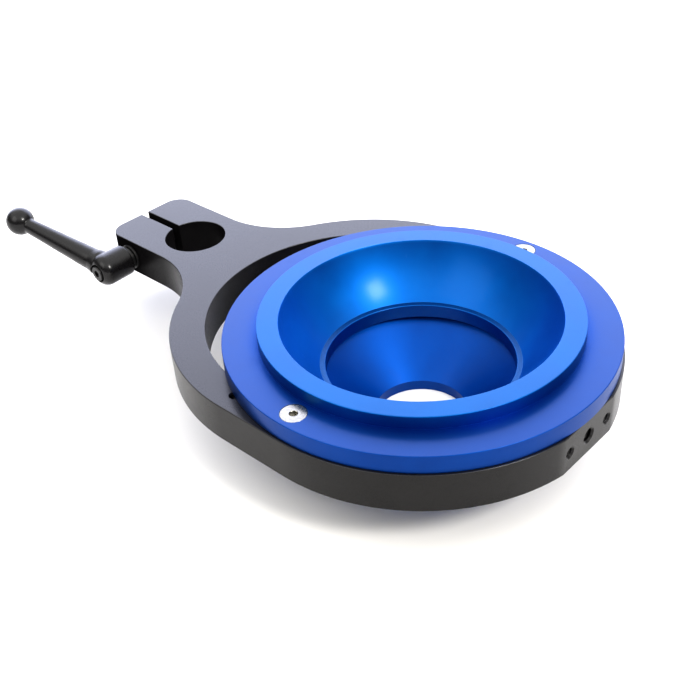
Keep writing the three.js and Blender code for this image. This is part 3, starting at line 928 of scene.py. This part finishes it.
def bright_steel():
    tint = colour(0.31, 0.30, 0.27)
    film_tint = colour(0.28, 0.27, 0.245)
    rubbed = colour(0.45, 0.45, 0.45)
    return steel("bright_steel", tint, film_tint, rubbed, roughness=0.26, metallic=1.0, lines=0.6)


def black_steel():
    tint = colour(0.010, 0.010, 0.011)
    film_tint = colour(0.016, 0.015, 0.014)
    rubbed = colour(0.04, 0.04, 0.04)
    return steel("black_steel", tint, film_tint, rubbed, roughness=0.38, metallic=0.1, lines=0.6)


def spring_steel():
    tint = colour(0.42, 0.42, 0.43)
    film_tint = colour(0.3, 0.3, 0.31)
    rubbed = colour(0.5, 0.5, 0.5)
    return steel("spring_steel", tint, film_tint, rubbed, roughness=0.32, metallic=1.0, lines=0.0)


def black_enamel():
    """Glossy enamel on a casting: slight orange peel, dust-dull patches, rubbed edges."""
    s = Shader("black_enamel")
    peel = s.noise(1.8 * MM, 2)
    grain = s.noise(0.3 * MM, 2)
    dull = s.remap(s.noise(9 * MM, 3), 0.45, 0.7)
    wear = s.maths("MULTIPLY", s.edges(0.5 * MM), s.remap(s.noise(2.5 * MM), 0.4, 0.7))
    base = s.mix(s.maths("MULTIPLY", wear, 0.6), DEEP_BLACK, colour(0.05, 0.05, 0.052))
    rough = s.remap(s.maths("ADD", dull, s.maths("MULTIPLY", grain, 0.5)), 0.2, 1.3, 0.26, 0.38)
    normal = s.bump(peel, 0.02 * MM, s.bump(grain, 0.003 * MM))
    return s.set(
        Base_Color=base,
        Roughness=rough,
        IOR=1.36,
        Coat_Weight=0.18,
        Coat_Roughness=0.12,
        Normal=normal,
    )


# ---- floor, light and camera ----

CAMERA_AZIMUTH = 44.21
CAMERA_ELEVATION = 35.88
CAMERA_ROLL = -3.55
CAMERA_DISTANCE = 0.5474
FLANGE_RIGHT_OF_AIM = 37.2 * MM
FLANGE_ABOVE_AIM = 14.2 * MM
LENS = 53.1
SCREEN_AZIMUTH = 130
SCREEN_FADE_START = 0.64  # sines of the elevation
SCREEN_FADE_END = 0.8
SCREEN_SIDES = (0.45, 0.8)  # cosines of the angle from its middle, where it starts and where it is full
ROOM_FADE = (0.3, 0.8)  # sines of the elevation
SCREEN = (3.2, 3.35, 4.2, 1)
ROOM_LOW = (0.2, 0.198, 0.195, 1)
ROOM_HIGH = (1.7, 1.7, 1.68, 1)
FLOOR_SIZE = 4
LAMP_DISTANCE = 1.5
LAMP_TINT = (1.0, 0.98, 0.95)


def floor():
    bm = bmesh.new()
    bmesh.ops.create_grid(bm, x_segments=1, y_segments=1, size=FLOOR_SIZE)
    obj = mesh_object("floor", bm, shift(0, 0, HOUSING_LOW.z))
    s = Shader("pale_floor")
    tone = s.remap(s.noise(120 * MM, 2), 0.3, 0.7)
    base = s.mix(tone, colour(0.82, 0.805, 0.775), colour(0.85, 0.835, 0.805))
    obj.data.materials.append(s.set(Base_Color=base, Roughness=0.7))


def direction(azimuth, elevation):
    """A unit vector; azimuth is from +X towards +Y."""
    a = math.radians(azimuth)
    e = math.radians(elevation)
    return Vector((math.cos(a) * math.cos(e), math.sin(a) * math.cos(e), math.sin(e)))


def softbox(name, azimuth, elevation, size, power):
    """A square lamp that looks at the middle of the bracket."""
    data = bpy.data.lights.new(name, "AREA")
    data.shape = "SQUARE"
    data.size = size
    data.energy = power
    data.color = LAMP_TINT
    towards = direction(azimuth, elevation)
    obj = bpy.data.objects.new(name, data)
    place = Matrix.Translation(Vector((BOWL_X / 2, 0, 0)) + towards * LAMP_DISTANCE)
    obj.matrix_world = place @ towards.to_track_quat("Z", "Y").to_matrix().to_4x4()
    bpy.context.scene.collection.objects.link(obj)


def surroundings():
    """A room, dim at eye level and brighter overhead, with a wide bright screen behind the object."""
    world = bpy.data.worlds.new("studio")
    world.use_nodes = True
    s = Shader("studio", world)
    towards = s.add("TexCoord").outputs["Generated"]
    height = s.add("SeparateXYZ", {0: towards}).outputs["Z"]
    screen = direction(SCREEN_AZIMUTH, 0)
    facing = s.add("VectorMath", {0: towards, 1: screen}, operation="DOT_PRODUCT").outputs["Value"]
    below = s.remap(height, SCREEN_FADE_END, SCREEN_FADE_START)
    behind = s.remap(facing, *SCREEN_SIDES)
    room = s.mix(s.remap(height, *ROOM_FADE), ROOM_LOW, ROOM_HIGH)
    light = s.mix(s.maths("MULTIPLY", below, behind), room, SCREEN)
    s.feed(s.tree.nodes["Background"].inputs["Color"], light)
    bpy.context.scene.world = world


def camera():
    look = (turn(CAMERA_AZIMUTH, "Z") @ turn(90 - CAMERA_ELEVATION, "X") @ turn(CAMERA_ROLL, "Z")).to_3x3()
    right, up, back = look.col
    aim = Vector((BOWL_X, 0, FLANGE_TOP)) - right * FLANGE_RIGHT_OF_AIM - up * FLANGE_ABOVE_AIM
    data = bpy.data.cameras.new("camera")
    data.lens = LENS
    obj = bpy.data.objects.new("camera", data)
    obj.matrix_world = Matrix.Translation(aim + back * CAMERA_DISTANCE) @ look.to_4x4()
    bpy.context.scene.collection.objects.link(obj)
    bpy.context.scene.camera = obj


# ---- the whole object ----

FINISHES = {
    maker.__name__: maker()
    for maker in (
        black_anodised,
        royal_blue_anodised,
        azure_anodised,
        bright_steel,
        black_steel,
        black_enamel,
        spring_steel,
    )
}


def settle(obj, node, body, finish):
    """The piece stands for a CAD node, moves with its body and wears its finish."""
    obj.name = "look_" + node
    obj.data.materials.clear()
    obj.data.materials.append(FINISHES[finish])
    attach(obj, body)
    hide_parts(node)
    return obj


settle(bracket_plate(), "bracket_plate", "bracket", "black_anodised")
settle(funnel_housing(), "funnel_housing", "bracket", "royal_blue_anodised")
settle(bowl_ring(), "bowl_ring", "bracket", "azure_anodised")
settle(flange_screw(-1), "flange_screw_near", "bracket", "bright_steel")
settle(flange_screw(1), "flange_screw_far", "bracket", "bright_steel")
for number, spot in enumerate(bowl_screw_places(), 1):
    settle(bowl_screw(*spot), f"bowl_screw_{number}", "bracket", "black_steel")
settle(thrust_washer(), "thrust_washer", "washer", "black_steel")
settle(threaded_stud(), "threaded_stud", "stud", "black_steel")
settle(serrated_insert(), "serrated_insert", "stud", "black_steel")
settle(retaining_screw(), "retaining_screw", "stud", "black_steel")
settle(lever_handle(), "lever_handle", "lever", "black_enamel")
spring = settle(return_spring(), "return_spring", "stud", "spring_steel")
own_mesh(spring)

floor()
surroundings()
softbox("key", azimuth=-1, elevation=41.6, size=0.3, power=13)
softbox("fill", azimuth=-98.8, elevation=39.3, size=0.9, power=4)
camera()
bpy.context.scene.view_settings.view_transform = "Standard"
bpy.context.scene.view_settings.look = "Medium High Contrast"
